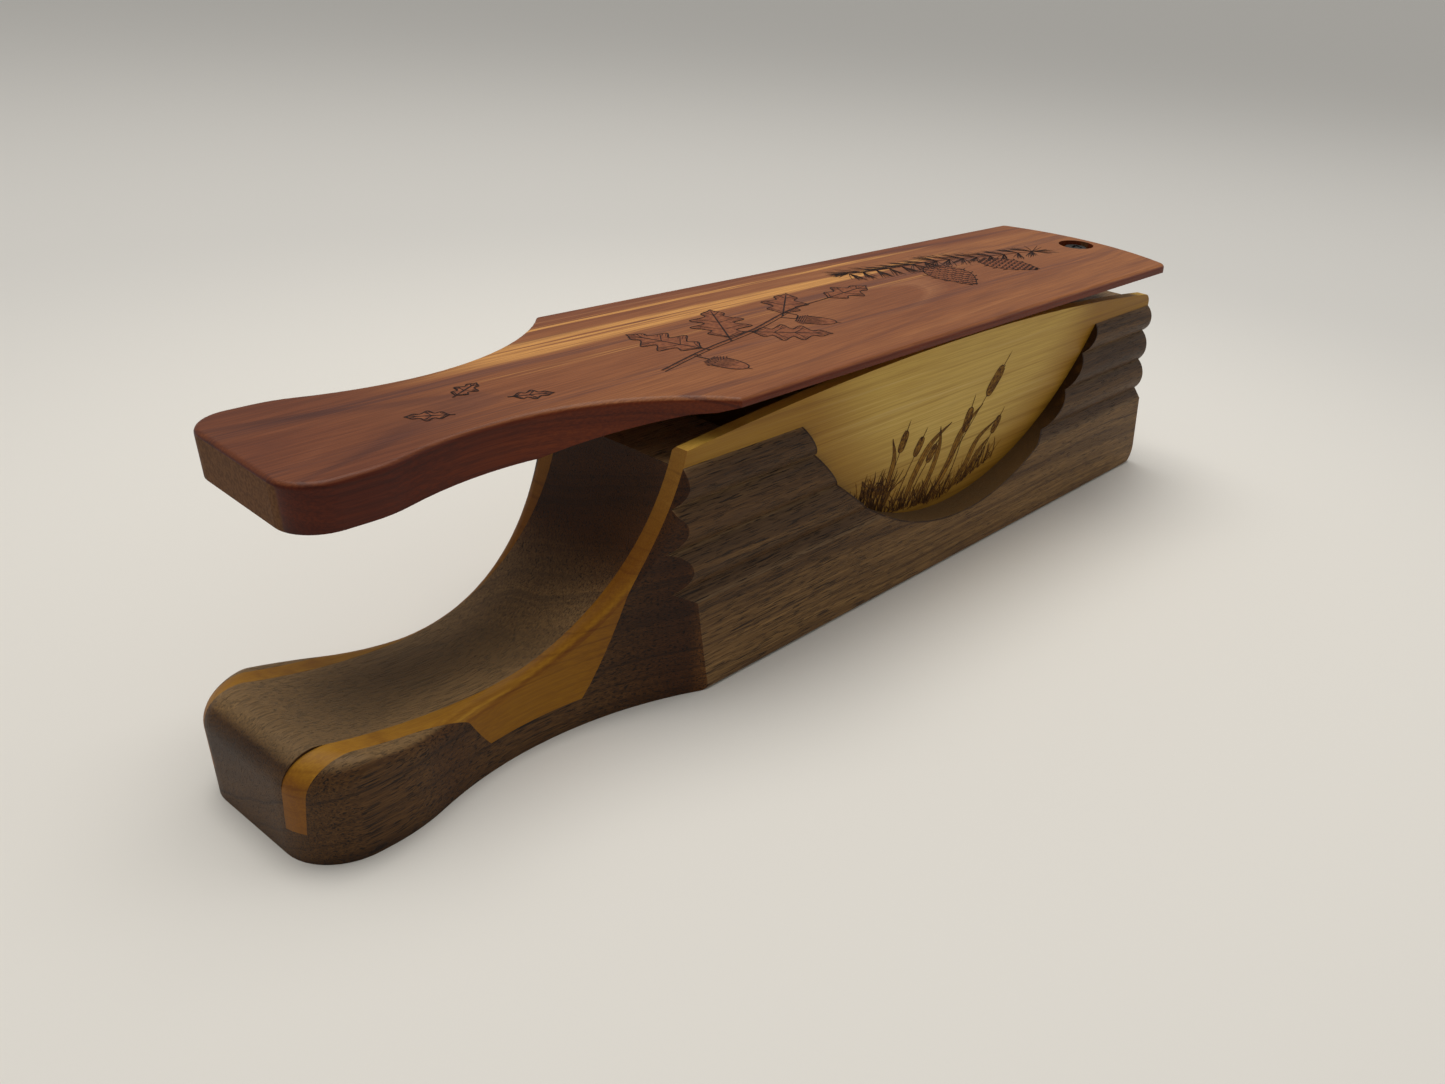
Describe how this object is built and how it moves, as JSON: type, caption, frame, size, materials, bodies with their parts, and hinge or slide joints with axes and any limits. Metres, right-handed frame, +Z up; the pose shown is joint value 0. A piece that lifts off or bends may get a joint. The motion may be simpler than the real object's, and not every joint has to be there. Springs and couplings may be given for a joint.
{
  "type": "box call",
  "caption": "Paddle box call: long wooden sound box with a shaped handle, crowned edges and a cedar paddle lid on a sprung pivot screw.",
  "frame": {"origin": "centre of the bottom of the wooden box, on the face that it stands on", "axes": "+X from the handle towards the pivot screw, +Y to the left, +Z up through the paddle"},
  "size_m": [0.286, 0.0744, 0.0696],
  "materials": {
    "walnut": "satin",
    "poplar": "satin",
    "cedar": "satin",
    "screw_steel": "satin",
    "washer_steel": "satin",
    "spring_steel": "polished"
  },
  "bodies": {
    "box": {"base_board": "walnut", "handle_core": "walnut", "far_block": "walnut", "sound_board_left": "poplar", "sound_board_right": "poplar", "cheek_left": "walnut", "cheek_right": "walnut", "handle_cheek_left": "walnut", "handle_cheek_right": "walnut", "pivot_spring": "spring_steel"},
    "screw": {"pivot_screw": "screw_steel"},
    "swivel": {"head_washer": "washer_steel"},
    "lid": {"paddle": "cedar", "spring_washer": "washer_steel"}
  },
  "joints": [
    {"name": "paddle_swing", "type": "hinge", "parent": "box", "child": "swivel", "pos_m": [0.129, 0, 0.066], "axis": [0, 0, 1], "range_deg": [-42, 48]},
    {"name": "paddle_lift", "type": "hinge", "parent": "swivel", "child": "lid", "pos_m": [0.12411, 0.00024, 0.0661], "axis": [0.0488, 0.9988, 0], "range_deg": [0, 6], "deforming": ["pivot_spring"]},
    {"name": "screw_turn", "type": "hinge", "parent": "box", "child": "screw", "pos_m": [0.129, 0, 0.054], "axis": [0, 0, 1], "range_deg": [-180, 180]}
  ]
}
